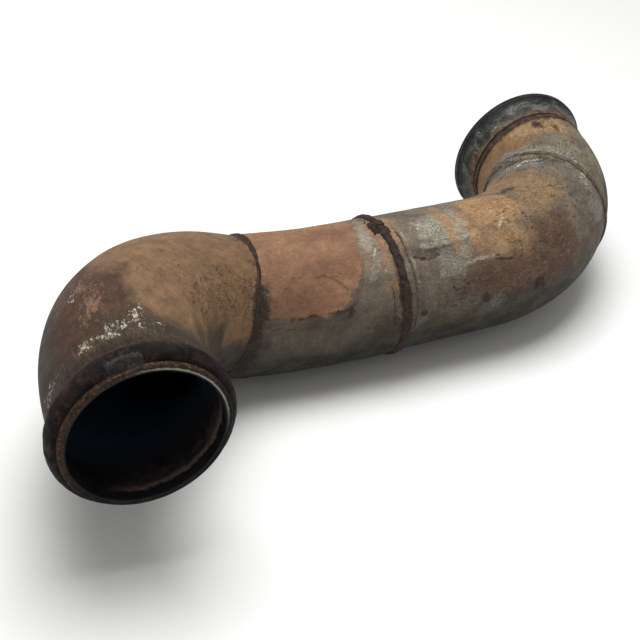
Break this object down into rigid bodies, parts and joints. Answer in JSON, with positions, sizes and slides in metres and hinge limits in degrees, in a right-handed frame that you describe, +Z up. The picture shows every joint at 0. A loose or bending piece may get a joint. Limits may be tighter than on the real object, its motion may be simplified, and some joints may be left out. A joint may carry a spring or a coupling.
{
  "type": "offset exhaust pipe",
  "caption": "Offset steel exhaust pipe: mitred elbows and a short tube butt-welded between an inlet spigot with a clamp ridge and a flared outlet flange.",
  "frame": {"origin": "centre of the inlet mouth, in the plane of the spigot's front edge", "axes": "+Y along the inlet and outlet axes in the direction of flow, out of the outlet; +X across to the outlet side; +Z up with the middle tube level"},
  "size_m": [0.5519, 0.3302, 0.1643],
  "materials": {
    "collar_steel": "rusted, edge rubbed bright",
    "ridge_steel": "sooty dark brown oxide",
    "elbow_steel": "heat-tinted golden brown with rust and scale",
    "middle_steel": "heat-tinted tan over bare grey steel",
    "bend_steel": "bare grey steel with rust-brown staining",
    "stub_steel": "heat-tinted tan, greenish to the outside",
    "flange_steel": "blackened, streaked grey",
    "weld_metal": "rough dark brown weld bead"
  },
  "bodies": {
    "root": {"inlet_spigot": "collar_steel", "inlet_ridge_ring": "ridge_steel", "inlet_weld": "weld_metal", "inlet_elbow": "elbow_steel", "elbow_weld": "weld_metal", "middle_tube": "middle_steel", "middle_weld": "weld_metal", "middle_weld_lump": "weld_metal", "outlet_bend": "bend_steel", "stub_weld": "weld_metal", "stub_patch_weld": "weld_metal", "outlet_stub": "stub_steel", "flange_weld": "weld_metal", "outlet_flange": "flange_steel", "ridge_patch_weld": "weld_metal"}
  },
  "joints": []
}
